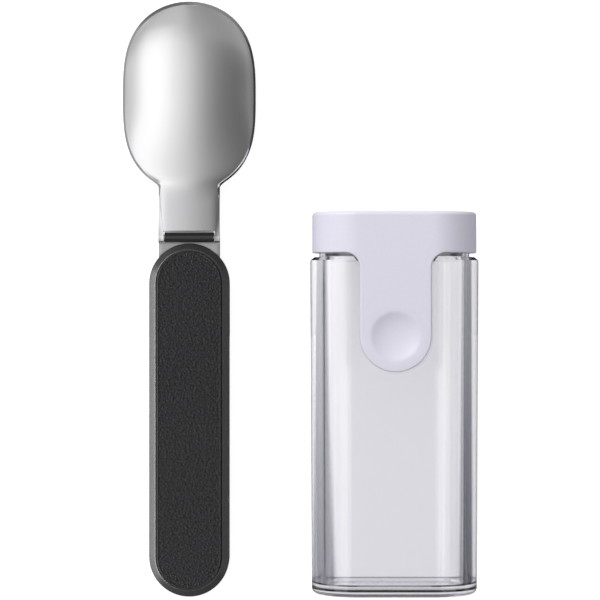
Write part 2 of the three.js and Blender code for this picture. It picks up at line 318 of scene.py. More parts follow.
def upright(outline, lowZ, highZ):
    return loft([[(x, y, z) for x, y in outline] for z in (lowZ, highZ)])


def crosswise(outline, lowX, highX):
    return loft([[(x, y, z) for y, z in outline] for x in (lowX, highX)])


def post(radius, y, lowZ, highZ, steps=32):
    return upright(circle((0, y), radius, steps), lowZ, highZ)


def axle(radius, halfLength, steps=40):
    return crosswise(circle((pivot.y, pivot.z), radius, steps), -halfLength, halfLength)


# Finishes

def textureNode(tree, kind, vector, **values):
    node = tree.nodes.new(kind)
    link(tree, vector, node.inputs["Vector"])
    setInputs(node, values)
    return node


def stretched(tree, scale):
    coordinates = tree.nodes.new("ShaderNodeTexCoord")
    mapping = tree.nodes.new("ShaderNodeMapping")
    link(tree, coordinates.outputs["Object"], mapping.inputs["Vector"])
    setInputs(mapping, {"Scale": scale})
    return mapping.outputs[0]


def finishGroup(name, *numbers):
    tree = bpy.data.node_groups.new(name, "ShaderNodeTree")
    for label in ("Light", "Dark"):
        addSocket(tree, label, "INPUT", "Color")
    for label in (*numbers, "Glossy", "Dull"):
        addSocket(tree, label, "INPUT", "Float")
    addSocket(tree, "Colour", "OUTPUT", "Color")
    for label in ("Roughness", "Height"):
        addSocket(tree, label, "OUTPUT", "Float")
    return tree, tree.nodes.new("NodeGroupInput")


def spread(tree, value, low, high):
    node = tree.nodes.new("ShaderNodeMapRange")
    link(tree, value, node.inputs["Value"])
    for name, limit in (("From Min", 0.3), ("From Max", 0.7), ("To Min", low), ("To Max", high)):
        link(tree, limit, node.inputs[name])
    return node.outputs["Result"]


def endGroup(tree, entry, shade, gloss, height):
    leave = tree.nodes.new("NodeGroupOutput")
    mix = tree.nodes.new("ShaderNodeMix")
    mix.data_type = "RGBA"
    link(tree, shade, mix.inputs["Factor"])
    link(tree, entry.outputs["Dark"], mix.inputs[6])
    link(tree, entry.outputs["Light"], mix.inputs[7])
    link(tree, mix.outputs[2], leave.inputs["Colour"])
    rough = spread(tree, gloss, entry.outputs["Glossy"], entry.outputs["Dull"])
    link(tree, rough, leave.inputs["Roughness"])
    link(tree, height, leave.inputs["Height"])


# fine moulded skin: shade, gloss and relief that vary over a plastic surface
skinValues = {"broadScale": 90, "broadShare": 0.45, "fineShare": 0.55}


def mouldSkinGroup():
    tree, entry = finishGroup("mould skin", "Fine")
    coordinates = tree.nodes.new("ShaderNodeTexCoord").outputs["Object"]
    broad = textureNode(tree, "ShaderNodeTexNoise", coordinates, Scale=skinValues["broadScale"], Detail=3)
    fine = textureNode(tree, "ShaderNodeTexNoise", coordinates, Detail=4, Roughness=0.6)
    link(tree, entry.outputs["Fine"], fine.inputs["Scale"])
    both = Term(tree, broad.outputs["Fac"]) * skinValues["broadShare"]
    both = both + Term(tree, fine.outputs["Fac"]) * skinValues["fineShare"]
    endGroup(tree, entry, spread(tree, fine.outputs["Fac"], 0, 1), both, fine.outputs["Fac"])
    return tree


# polished sheet: soft clouding and faint polishing lines along the piece
sheetValues = {"clouds": (60, 40, 60), "lines": (5200, 120, 5200), "cloudShare": 0.6, "lineShare": 0.4}


def polishGroup():
    tree, entry = finishGroup("polished sheet")
    wide = stretched(tree, sheetValues["clouds"])
    clouds = textureNode(tree, "ShaderNodeTexNoise", wide, Scale=1, Detail=3)
    long = stretched(tree, sheetValues["lines"])
    lines = textureNode(tree, "ShaderNodeTexNoise", long, Scale=1, Detail=2)
    both = Term(tree, clouds.outputs["Fac"]) * sheetValues["cloudShare"]
    both = both + Term(tree, lines.outputs["Fac"]) * sheetValues["lineShare"]
    endGroup(tree, entry, both, both, lines.outputs["Fac"])
    return tree


def newFinish(name):
    finish = bpy.data.materials.new(name)
    finish.use_nodes = True
    tree = finish.node_tree
    shader = tree.nodes["Principled BSDF"]
    return finish, tree, shader


def varyGloss(tree, shader, group, values):
    node = tree.nodes.new("ShaderNodeGroup")
    node.node_tree = group
    setInputs(node, values)
    link(tree, node.outputs["Roughness"], shader.inputs["Roughness"])
    return node


def dress(tree, shader, group, values, relief, depth):
    node = varyGloss(tree, shader, group, values)
    link(tree, node.outputs["Colour"], shader.inputs["Base Color"])
    bump = tree.nodes.new("ShaderNodeBump")
    setInputs(bump, {"Strength": relief, "Distance": depth * mm})
    link(tree, node.outputs["Height"], bump.inputs["Height"])
    link(tree, bump.outputs[0], shader.inputs["Normal"])


mouldSkin = mouldSkinGroup()
polish = polishGroup()


def steelFinish(name, light, dark, glossy, dull):
    finish, tree, shader = newFinish(name)
    setInputs(shader, {"Metallic": 1})
    values = {"Light": light, "Dark": dark, "Glossy": glossy, "Dull": dull}
    dress(tree, shader, polish, values, relief=0.05, depth=0.02)
    return finish


def plasticFinish(name, light, dark, fine, glossy, dull, relief, depth):
    finish, tree, shader = newFinish(name)
    values = {"Light": light, "Dark": dark, "Fine": fine, "Glossy": glossy, "Dull": dull}
    dress(tree, shader, mouldSkin, values, relief, depth)
    return finish


# clear wall: only its gloss varies, its colour and transmission are plain
def clearFinish():
    finish, tree, shader = newFinish("clear moulding")
    setInputs(shader, {"Base Color": (0.925, 0.92, 0.945, 1), "Transmission Weight": 1, "IOR": 1.49})
    varyGloss(tree, shader, mouldSkin, {"Fine": 700, "Glossy": 0.05, "Dull": 0.1})
    return finish


headSteel = steelFinish(
    "satin steel", (0.72, 0.72, 0.72, 1), (0.67, 0.67, 0.675, 1), glossy=0.15, dull=0.21)
# darker than the head's and the pin's steel: painted shade, as the leaf lies in the cover's shadow
springSteel = steelFinish(
    "bright spring steel", (0.48, 0.48, 0.48, 1), (0.4, 0.4, 0.41, 1), glossy=0.3, dull=0.4)
pinSteel = steelFinish(
    "turned steel", (0.7, 0.7, 0.7, 1), (0.62, 0.62, 0.63, 1), glossy=0.25, dull=0.35)
blackMoulding = plasticFinish(
    "black moulding", (0.019, 0.019, 0.0205, 1), (0.011, 0.011, 0.012, 1),
    fine=2600, glossy=0.26, dull=0.34, relief=0.25, depth=0.02)
gripMoulding = plasticFinish(
    "grained black moulding", (0.042, 0.041, 0.046, 1), (0.002, 0.002, 0.0024, 1),
    fine=1900, glossy=0.46, dull=0.68, relief=0.8, depth=0.12)
lidMoulding = plasticFinish(
    "white moulding", (0.82, 0.80, 0.915, 1), (0.795, 0.775, 0.895, 1),
    fine=1800, glossy=0.36, dull=0.46, relief=0.08, depth=0.01)
clearMoulding = clearFinish()
print("finishes made")


# Spoon head, by one rule from the hinge to the tip

hair = 0.002  # keeps the outline just inside the CAD box
headSizes = {
    "Bowl half": (headHigh.x - headLow.x) / 2 - hair,
    "Bowl depth": 6.8,
    "Heel length": 23.95,  # from the widest place back to where the bowl would close without the neck
    "Tip power": 3.0,  # the outline's fullness towards the tip and towards the heel
    "Heel power": 3.2,
    "Neck blend": 9.6,
    "Tip fullness": 3.2,  # how far the dish stays deep towards each end
    "Heel fullness": 0.82,
    "Sheet": 1.0,
    "Rim band": 0.55,  # the sheet's cut edge, seen from the front
    "Tip band": 0.95,
    "Neck band": 0.12,
    "Rim edge": 0.85,
    "Rim drop": 0.7,  # the cut edge leans outwards by this much
    "Neck drop": 0.06,
    "Rim step": 0.03,  # share of the dish's depth that drops just inside the rim
    "Rim power": 14.0,
    "Neck half": 7.7,
    "Neck dish": 1.35,
    "Neck back": 1.9,
    "Neck step": 0.32,  # upturned sides: the share of the trough's depth that they take
    "Neck power": 11.0,
    "Neck fade": 6.0,
    "End round": 0.3,
    "Tip": headHigh.y - hair,
    "Tip radius": 18.0,
    "Middle": headHigh.y - 23.8,  # the widest place
    "Neck start": 27.1,
    "Neck end": pivot.y + 1.42,  # just clear of the knuckle
    "Across": 60,
    "Along": 210,
}
headSizes["Rim height"] = headLow.z + headSizes["Bowl depth"] + headSizes["Sheet"]
dishShare = 0.9  # of the steps across that lie inside the rim band
leastDish = 0.3  # of the width, where the rim closes in at the tip
fadeStart = 0.6  # of the neck's fade, how much lies before the neck's start


def halfWidth(head, y, inset):
    toTip = ((y - head["Middle"]) / (head["Tip"] - head["Middle"] - inset)).atLeast(0)
    toHeel = ((head["Middle"] - y) / (head["Heel length"] - inset)).atLeast(0)
    fall = toTip ** head["Tip power"] + toHeel ** head["Heel power"]
    bowl = (head["Bowl half"] - inset) * (1 - fall).atLeast(0).root()
    neck = (head["Neck half"] - inset) * head["Middle"].over(y)
    return (bowl ** head["Neck blend"] + neck ** head["Neck blend"]) ** (1 / head["Neck blend"])


def dishDepth(head, y, neckDepth, depth, end):
    middle = head["Middle"]
    toTip = ((y - middle) / (end - middle)).clamped()
    tipSide = depth * (1 - toTip ** head["Tip fullness"])
    along = ((y - head["Neck start"]) / (middle - head["Neck start"])).clamped()
    neckSide = blend(neckDepth, depth, (along ** head["Heel fullness"]).eased())
    return blend(neckSide, tipSide, y.over(middle))


def headTree():
    tree, entry, head = ruleTree("spoon head", headSizes)
    across = head["Across"]
    mesh, step, along = ringGrid(tree, across * 2 + 2, head["Along"])
    isTop, share = ringSides(step, across, across)
    y = blend(head["Neck end"], head["Tip"], along.eased())  # rows close up towards both ends
    # in the neck the rim is slim and the sides turn up, and both ease into the bowl's
    bowlShare = ((y - head["Neck start"]) / head["Neck fade"] + fadeStart).clamped().eased()
    tipShare = ((y - head["Tip"]) / head["Tip radius"] + 1).atLeast(0)
    rimBand = head["Rim band"] + (head["Tip band"] - head["Rim band"]) * tipShare * tipShare
    rimBand = blend(head["Neck band"], rimBand, bowlShare)
    outer = halfWidth(head, y, 0)
    inner = halfWidth(head, y, rimBand).atLeast(outer * leastDish)
    ratio = (share.size() / dishShare).atMost(1)
    band = ((share.size() - dishShare) / (1 - dishShare)).atLeast(0)
    width = inner * ratio + (outer - inner) * band
    stepShare = blend(head["Neck step"], head["Rim step"], bowlShare)
    power = blend(head["Neck power"], head["Rim power"], bowlShare)
    wall = ratio * ratio * (1 - stepShare) + (ratio ** power) * stepShare
    backWall = width / outer * (width / outer)
    inside = dishDepth(head, y, head["Neck dish"], head["Bowl depth"], head["Tip"] - head["Tip band"])
    outside = dishDepth(head, y, head["Neck back"], head["Bowl depth"] + head["Sheet"], head["Tip"])
    outside = outside.atLeast(head["Rim edge"])
    # distance in from the outline, taken towards the tip's own centre where the rim runs round it
    x = width * share.side()
    beyond = (y - head["Tip"] + head["Tip radius"]).atLeast(0)
    fromEdge = (outer * outer + beyond * beyond).root() - (x * x + beyond * beyond).root()
    outwards = (1 - fromEdge / rimBand).atLeast(0)
    drop = blend(head["Neck drop"], head["Rim drop"], bowlShare)
    topZ = head["Rim height"] - inside * (1 - wall) - drop * outwards
    backEdge = drop + head["Rim edge"] - head["Rim drop"]
    backZ = head["Rim height"] - backEdge - (outside - backEdge) * (1 - backWall)
    # the neck's end is rounded off by drawing top and back together
    short = (1 - (y - head["Neck end"]) / head["End round"]).atLeast(0)
    thick = (1 - short * short).atLeast(0).root()
    z = (topZ + backZ) / 2 + (topZ - backZ) / 2 * thick * (isTop * 2 - 1)
    endTree(tree, entry, mesh, x, y, z)
    return tree


# the neck's sides rise into two ears, which thicken towards the hinge and lean in a little at the top
earSizes = {"radius": 1.4, "slim": 0.3, "thick": 1.4, "ramp": 10.6, "foot": 0.2, "lean": 0.17, "midLean": 1.1,
            "round": 0.12, "inset": 0.02, "hole": 0.7}


def ear(side):
    rimZ = headSizes["Rim height"]
    rise = pivot.z - rimZ
    ramp = earSizes["ramp"]
    radius = earSizes["radius"]
    tangent = math.degrees(math.acos(radius / math.hypot(ramp, rise)) - math.atan2(rise, ramp))
    rampY = pivot.y + ramp
    outerX = headSizes["Neck half"] - earSizes["inset"]
    crown = arc((pivot.y, pivot.z), radius, tangent, 270, 40)
    start = (rampY, rimZ - earSizes["inset"])
    rampSteps = 8
    outline = [(rampY, rimZ - earSizes["foot"])]
    for step in range(rampSteps):
        outline.append(tuple(blend(a, b, step / rampSteps) for a, b in zip(start, crown[0])))
    outline += crown
    outside = [(side * outerX, y, z) for y, z in outline]
    inside = []
    for k, (y, z) in enumerate(outline):
        share = (rampY - y) / (ramp + radius)
        thickness = blend(earSizes["slim"], earSizes["thick"], share)
        lean = earSizes["lean"] + earSizes["midLean"] * share * max(0, ramp / (ramp + radius) - share)
        onTop = 1 if 0 < k <= rampSteps else max(0, (z - pivot.z) / radius)
        inside.append((side * (outerX - thickness), y, z - lean * onTop))
    piece = solidObject("ear", loft([outside, inside]))
    soften(piece, earSizes["round"])
    return piece


head = grow("spoonHead", headTree(), headSizes, headSteel)
combine(head, "UNION", ear(-1), ear(1))
cutOut(head, "pinHole", axle(earSizes["hole"], headSizes["Neck half"] + 1))
finishPiece(head, spoonX, headSteel, "head", "head_steel", "spoon_head", sharp=30, flats=False)


# Hinge pin, with its ends turned slightly round

pinSizes = {"endRound": 0.15}


def hingePin():
    radius = (pinHigh.z - pinLow.z) / 2
    half = (pinHigh.x - pinLow.x) / 2
    right = [(half - rise, radius - inset) for inset, rise in quarterRound(pinSizes["endRound"], 4)]
    stations = [(-x, r) for x, r in right] + right[::-1]
    rings = [[(x, a, b) for a, b in circle((pivot.y, pivot.z), r, 36)] for x, r in stations]
    return solidObject("hingePin", loft(rings))


pin = hingePin()
finishPiece(pin, spoonX, pinSteel, "head", "pin_steel", "hinge_pin")


# Handle

handleSizes = {
    "bottomRound": 2.6,
    "wall": 1.9,
    "clearance": 0.3,
    "pegRadius": 1.2,
    "pegLength": 3.0,
    "bossWall": 1.1,
    "edgeRound": 0.12,
    "capInset": 0.1,  # a narrow ring that keeps a flat end flat
}
coverSizes = {
    "lip": 0.6,
    "bevel": 1.65,
    "edgeRound": 0.18,
    "footShare": 0.3,  # of the edge round, where its soft corners are cut
    "lipShare": (0.12, 0.35),
    "bevelShares": ((0.5, 0.35), (1.2, 1.2)),
    "crestRound": 0.5,
    "pocketDepth": 0.7,
    "pegRoot": 0.2,
}
springSizes = {
    "tangWidth": 9.0,
    "frontHalf": 7.7,
    "fingerWidth": 1.2,
    "round": 0.4,
    "upturn": 0.18,
    "gap": 0.12,
}
knuckleSizes = {"radius": 1.3, "halfWidth": 6.2, "stem": 1.75, "round": 0.22}

handleTopY = coverHigh.y
handleEndY = coverLow.y
handleRadius = (coverHigh.x - coverLow.x) / 2
springEndY = springLow.y
tangHalf = springSizes["tangWidth"] / 2
springPegs = [(handleTopY + springEndY) / 2, springEndY + tangHalf]
shellPegs = [(springEndY + handleEndY) / 2, handleEndY + handleRadius]
stemBackY = pivot.y + knuckleSizes["radius"] - knuckleSizes["stem"]
springFrontY = stemBackY - springSizes["gap"]
coverFloorZ = springHigh.z + handleSizes["clearance"]


def handleRing(inset, z, topY=handleTopY):
    halfFlat = (topY - handleEndY) / 2 - handleRadius
    middle = (topY + handleEndY) / 2
    return [(-b, middle + a, z) for a, b in obround(halfFlat, handleRadius - inset)]


def springOutline(extra):
    half = springSizes["frontHalf"] + extra
    tang = tangHalf + extra
    finger = springSizes["frontHalf"] - springSizes["fingerWidth"] - extra
    shoulderY = handleTopY - handleRadius - extra
    front = [(half, shoulderY), (half, pivot.y + extra)]
    front += [(finger, pivot.y + extra), (finger, springFrontY + extra)]
    tail = arc((0, springEndY + tangHalf), tang, 180, 360, 24)
    neckY = shoulderY - (half - tang)
    return front + [(-x, y) for x, y in front[::-1]] + [(-tang, neckY)] + tail + [(tang, neckY)]


def leafSpring():
    piece = solidObject("leafSpring", upright(springOutline(0), springLow.z, springHigh.z))
    for y in springPegs:
        radius = handleSizes["pegRadius"] + handleSizes["clearance"]
        cutOut(piece, "hole", post(radius, y, springLow.z - 1, springHigh.z + 1))
    soften(piece, springSizes["round"])
    for side in (-1, 1):
        combine(piece, "UNION", upturnedEdge(side))
    return piece


# the leaf's sides turn up slightly where they show beside the cover
def upturnedEdge(side):
    outer = springSizes["frontHalf"] - handleSizes["edgeRound"]
    inner = outer - springSizes["fingerWidth"]
    z = springHigh.z
    upturn = springSizes["upturn"]
    section = [(inner, z - upturn / 4), (outer, z + upturn), (outer, z - upturn), (inner, z - upturn)]
    reach = (handleTopY - handleRadius, pivot.y - earSizes["radius"] - handleSizes["clearance"])
    return solidObject("upturn", loft([[(side * x, y, height) for x, height in section] for y in reach]))


def knuckle():
    frontY = pivot.y + knuckleSizes["radius"]
    soleZ = handleSizes["bottomRound"]
    footZ = springLow.z - 2 * handleSizes["clearance"]
    chamfer = knuckleSizes["stem"] / 2
    rootY = handleTopY - handleRadius
    backAngle = 360 - math.degrees(math.acos((stemBackY - pivot.y) / knuckleSizes["radius"]))
    outline = [(rootY, soleZ), (frontY - chamfer, soleZ), (frontY, soleZ + chamfer)]
    outline += arc((pivot.y, pivot.z), knuckleSizes["radius"], 0, backAngle, 40)
    outline += [(stemBackY, footZ), (rootY, footZ)]
    piece = solidObject("knuckle", crosswise(outline, -knuckleSizes["halfWidth"], knuckleSizes["halfWidth"]))
    soften(piece, knuckleSizes["round"])
    return piece


def rearShell():
    topZ = springHigh.z
    edge = handleSizes["edgeRound"]
    bottom = quarterRound(handleSizes["bottomRound"], 12)
    stations = [(handleSizes["bottomRound"] + handleSizes["capInset"], 0), *bottom]
    stations += [(inset, topZ - rise) for inset, rise in quarterRound(edge, 4)[::-1]]
    stations.append((edge + handleSizes["capInset"], topZ))
    piece = solidObject("rearShell", loft([handleRing(inset, z) for inset, z in stations]))
    wall = handleSizes["wall"]
    clearance = handleSizes["clearance"]
    pocket = [handleRing(wall, z, topY=springEndY - clearance) for z in (wall, topZ + 1)]
    cutOut(piece, "pocket", loft(pocket))
    hole = handleSizes["pegRadius"] + clearance
    for y in shellPegs:
        fuse(piece, "boss", post(hole + handleSizes["bossWall"], y, wall / 2, topZ - edge))
    cutOut(piece, "recess", upright(springOutline(clearance), springLow.z - clearance, topZ + 1))
    combine(piece, "UNION", knuckle())
    pegBottom = coverFloorZ - handleSizes["pegLength"] - clearance
    for y in springPegs + shellPegs:
        cutOut(piece, "hole", post(hole, y, pegBottom, topZ + 1))
    cutOut(piece, "pinHole", axle(earSizes["hole"], headSizes["Neck half"]))
    return piece


# bevelled rim round a shallow pocket, with pegs behind
def frontCover():
    lipZ = coverFloorZ + coverSizes["lip"]
    topZ = coverHigh.z
    bevel = coverSizes["bevel"]
    edge = coverSizes["edgeRound"]
    crest = coverSizes["crestRound"]
    height = topZ - crest - lipZ
    slope = math.atan2(height, bevel) + math.asin(crest / math.hypot(height, bevel))
    run = edge * math.cos(slope)
    climb = edge * math.sin(slope)
    pocketZ = topZ - coverSizes["pocketDepth"]
    foot = edge * coverSizes["footShare"]
    lipIn, lipDown = (edge * share for share in coverSizes["lipShare"])
    stations = [
        (edge + handleSizes["capInset"], coverFloorZ),
        (edge, coverFloorZ),
        (foot, coverFloorZ + foot),
        (0, coverFloorZ + edge),
        (0, lipZ - edge),
        (lipIn, lipZ - lipDown),
    ]
    stations += [(run * across, lipZ + climb * up) for across, up in coverSizes["bevelShares"]]
    stations += arc((bevel, topZ - crest), crest, 90 + math.degrees(slope), 90, 6)
    stations += [(bevel, pocketZ), (bevel + handleSizes["capInset"], pocketZ)]
    piece = solidObject("frontCover", loft([handleRing(inset, z) for inset, z in stations]))
    pegBottom = coverFloorZ - handleSizes["pegLength"]
    for y in springPegs + shellPegs:
        fuse(piece, "peg", post(handleSizes["pegRadius"], y, pegBottom, coverFloorZ + coverSizes["pegRoot"]))
    return piece


spring = leafSpring()
finishPiece(spring, spoonX, springSteel, "handle", "spring_steel", "back_spring")
shell = rearShell()
finishPiece(shell, spoonX, blackMoulding, "handle", "handle_plastic", "handle_rear_shell")
cover = frontCover()
finishPiece(cover, spoonX, blackMoulding, "handle", "handle_plastic", "handle_front_cover", sharp=45)


# Grip pad, a slim obround with its grain raised in the mesh

padSizes = {
    "Length": padHigh.y - padLow.y,
    "Width": padHigh.x - padLow.x,
    "Middle": (padHigh.y + padLow.y) / 2,
    "Top": padHigh.z,
    "Underside": padLow.z,
    "Edge round": 0.2,
    "Grain size": 0.58,
    "Grain depth": 0.13,
    "Grain wander": 0.35,
    "Grain seed": 4.0,
    "Fade": 0.5,  # the grain dies out this close to the edge
    "Across": 96,
    "Along": 640,
}


def padTree():
    tree, entry, pad = ruleTree("grip pad", padSizes)
    across = pad["Across"]
    mesh, step, along = ringGrid(tree, across + 3, pad["Along"])
    isTop, share = ringSides(step, across, 1)
    radius = pad["Width"] / 2
    offset = (along * math.pi).cosine() * pad["Length"] / -2
    beyond = (offset.size() - (pad["Length"] / 2 - radius)).atLeast(0)
    x = (radius * radius - beyond * beyond).atLeast(0).root() * share
    y = pad["Middle"] + offset
    inside = radius - (x * x + beyond * beyond).root()
    # cells of leather-like grain, with wandering creases
    flat = tree.nodes.new("ShaderNodeCombineXYZ")
    link(tree, x / pad["Grain size"], flat.inputs["X"])
    link(tree, y / pad["Grain size"], flat.inputs["Y"])
    link(tree, pad["Grain seed"], flat.inputs["Z"])
    wander = textureNode(tree, "ShaderNodeTexNoise", flat.outputs[0], Scale=0.8, Detail=2)
    shifted = tree.nodes.new("ShaderNodeVectorMath")
    shifted.operation = "MULTIPLY_ADD"
    link(tree, wander.outputs["Color"], shifted.inputs[0])
    link(tree, pad["Grain wander"], shifted.inputs[1])
    link(tree, flat.outputs[0], shifted.inputs[2])
    cells = textureNode(tree, "ShaderNodeTexVoronoi", shifted.outputs[0], Scale=1)
    cells.feature = "DISTANCE_TO_EDGE"
    crease = 1 - (Term(tree, cells.outputs["Distance"]) * 2).atMost(1)
    fade = (inside / pad["Fade"]).clamped()
    lean = (pad["Edge round"] - inside).atLeast(0)
    shoulder = (pad["Edge round"] * pad["Edge round"] - lean * lean).atLeast(0).root()
    topZ = pad["Top"] - pad["Edge round"] + shoulder - crease * fade * pad["Grain depth"]
    endTree(tree, entry, mesh, x, y, blend(pad["Underside"], topZ, isTop))
    return tree


grip = grow("gripPad", padTree(), padSizes, gripMoulding)
finishPiece(grip, spoonX, gripMoulding, "handle", "grip_plastic", "grip_inlay", sharp=60, flats=False)


# Case body, one skin from its base up to the mouth and down into the bay

caseSizes = {
    "bayRadius": 8.6,
    "bayFlat": 9.15,
    "bayDraft": 0.25,
    "bayFloorRound": 0.6,
    "floor": 2.5,
    "bottomRound": 1.6,
    "mouthWall": 1.0,
    "mouthRound": 0.3,
    "shoulderY": 10.45,
    "shoulderFlare": 0.4,
    "shoulderChamfer": 0.9,
    "softening": 0.15,
    "softShares": (0.3, 0.7),  # of the softening, where its corners are cut
    "recessLift": 0.02,
    "recessOver": 0.2,  # how far the recess runs past the shoulder
    "gateRadius": 1.6,
    "gateDepth": 0.4,
    "gateShare": 0.6,
}
caseRadius = (caseHigh.z - caseLow.z) / 2
caseMiddleZ = (caseHigh.z + caseLow.z) / 2


def caseRing(y, halfFlat, radius):
    return [(-a, y, caseMiddleZ + b) for a, b in obround(halfFlat, radius, 56)]


tongueSizes = {"width": 17.7, "length": 29.5, "fillet": 3.7, "clearance": 0.3}
lidEdgeY = lidLow.y + tongueSizes["length"]
tongueHalf = tongueSizes["width"] / 2
tongueEndY = lidLow.y + tongueHalf  # centre of its round end
filletX = tongueHalf + tongueSizes["fillet"]
filletY = lidEdgeY - tongueSizes["fillet"]


# right half of the tongue's edge, from the middle of its end up to the lid's edge, drawn in by an inset
def tongueSide(inset):
    half = tongueHalf - inset
    end = arc((0, tongueEndY), half, -90, 0, 28)
    sideSteps = 20
    side = [(half, tongueEndY + (filletY - tongueEndY) * step / sideSteps) for step in range(1, sideSteps)]
    return end + side + arc((filletX, filletY), tongueSizes["fillet"] + inset, 180, 90, 16)


def caseBody():
    bayFlat = caseSizes["bayFlat"]
    bayRadius = caseSizes["bayRadius"]
    soft = caseSizes["softening"]
    near, far = (soft * share for share in caseSizes["softShares"])
    baseY = caseLow.y
    mouthY = caseHigh.y
    shoulderY = caseSizes["shoulderY"]
    topFlat = bayFlat + caseSizes["shoulderFlare"]
    chamfer = caseSizes["shoulderChamfer"]
    mouthRadius = bayRadius + caseSizes["mouthWall"]
    lip = quarterRound(caseSizes["mouthRound"], 5)
    bayEnd = bayFlat - caseSizes["bayDraft"]
    floorY = baseY + caseSizes["floor"]
    corner = caseSizes["bayFloorRound"]
    sections = [(baseY, bayFlat, caseRadius - caseSizes["bottomRound"] - soft)]
    sections += [(baseY + rise, bayFlat, caseRadius - inset)
                 for inset, rise in quarterRound(caseSizes["bottomRound"], 10)]
    sections += [
        (shoulderY - chamfer - soft, topFlat, caseRadius),
        (shoulderY - chamfer + far, topFlat, caseRadius - near),
        (shoulderY - far, topFlat, caseRadius - chamfer + near),
        (shoulderY, topFlat, caseRadius - chamfer - soft),
        (shoulderY, bayFlat, mouthRadius + soft),
        (shoulderY + soft, bayFlat, mouthRadius),
    ]
    sections += [(mouthY - rise, bayFlat, mouthRadius - inset) for inset, rise in lip[::-1]]
    sections += [(mouthY - rise, bayFlat, bayRadius + inset) for inset, rise in lip]
    sections += [
        (floorY + corner + soft, bayEnd, bayRadius),
        (floorY + corner - far, bayEnd, bayRadius - near),
        (floorY + near, bayEnd, bayRadius - corner + far),
        (floorY, bayEnd, bayRadius - corner - soft),
        (floorY, bayEnd, bayRadius - corner - 2 * soft),
    ]
    piece = solidObject("caseBody", loft([caseRing(*section) for section in sections]))
    outline = tongueSide(-tongueSizes["clearance"])
    outline.append((filletX, shoulderY + caseSizes["recessOver"]))
    outline += [(-x, y) for x, y in outline[::-1]][:-1]
    recessZ = caseMiddleZ + mouthRadius + caseSizes["recessLift"]
    cutOut(piece, "recess", upright(outline, recessZ, caseHigh.z + 1))
    gateRadius = caseSizes["gateRadius"]
    gateDepth = caseSizes["gateDepth"]
    gateShare = caseSizes["gateShare"]
    gate = ((baseY - 1, gateRadius), (baseY + gateDepth * gateShare, gateRadius),
            (baseY + gateDepth, gateRadius * gateShare))
    cutOut(piece, "gate", loft([[(x, y, caseMiddleZ + z) for x, z in circle((0, 0), radius, 36)]
                                for y, radius in gate]))
    return piece


body = caseBody()
finishPiece(body, caseX, clearMoulding, "case", "clear_plastic", "case_body", sharp=28)


# Lid, drawn as its unrolled wall with the tongue in one, then wrapped round the obround

lidSizes = {
    "wall": 1.5,
    "top": 0.9,
    "topRound": 1.0,
    "ceilingRound": 0.6,
    "edgeRound": 0.35,
    "innerRound": 0.15,
    "dimpleRadius": 6.1,
    "dimpleDepth": 1.1,
    "dimplePower": 2.25,  # 2 is a round hollow, more has a flatter floor and steeper sides
    "dimpleBlend": 0.12,
    "dimpleReach": 7.6,
    "columns": 200,  # round the whole lid
    "columnGap": 0.3,  # from the tongue's fillet to the first of them
    "rows": 6,  # up the lid's side
    "tongueStep": 0.9,
    "tongueColumns": 18,
    "dimpleRings": 25,
    "dimpleSpokes": 64,
    "flatInset": 0.15,
}
lidRadius = (lidHigh.z - lidLow.z) / 2
lidFlat = (lidHigh.x - lidLow.x) / 2 - lidRadius
lidMiddleZ = (lidHigh.z + lidLow.z) / 2
lidHalfGirth = 2 * lidFlat + math.pi * lidRadius


def onLid(s, y, depth):
    side = math.copysign(1, s)
    radius = lidRadius - depth
    past = abs(s) - lidFlat
    if past <= 0:
        return Vector((s, y, lidMiddleZ + radius))
    if past <= math.pi * lidRadius:
        turn = past / lidRadius
        return Vector((side * (lidFlat + radius * math.sin(turn)), y, lidMiddleZ + radius * math.cos(turn)))
    return Vector((side * (lidHalfGirth - abs(s)), y, lidMiddleZ - radius))


def dimple(s, y):
    away = math.hypot(s, y - tongueEndY)
    reach = lidSizes["dimpleReach"]
    if away >= reach:
        return 0
    hollow = lidSizes["dimpleDepth"] * (1 - (away / lidSizes["dimpleRadius"]) ** lidSizes["dimplePower"])
    soft = (hollow + math.hypot(hollow, lidSizes["dimpleBlend"])) / 2
    return soft * min(1, reach - away)


lidColumns = [lidHalfGirth * (2 * k / lidSizes["columns"] - 1) for k in range(lidSizes["columns"] + 1)]


# lower edge of the unrolled wall, from the seam at the back round the tongue to the seam again
def lidEdge(inset):
    right = tongueSide(inset)
    right += [(s, lidEdgeY + inset) for s in lidColumns if s > filletX + lidSizes["columnGap"]]
    return [(-s, y) for s, y in right[:0:-1]] + right


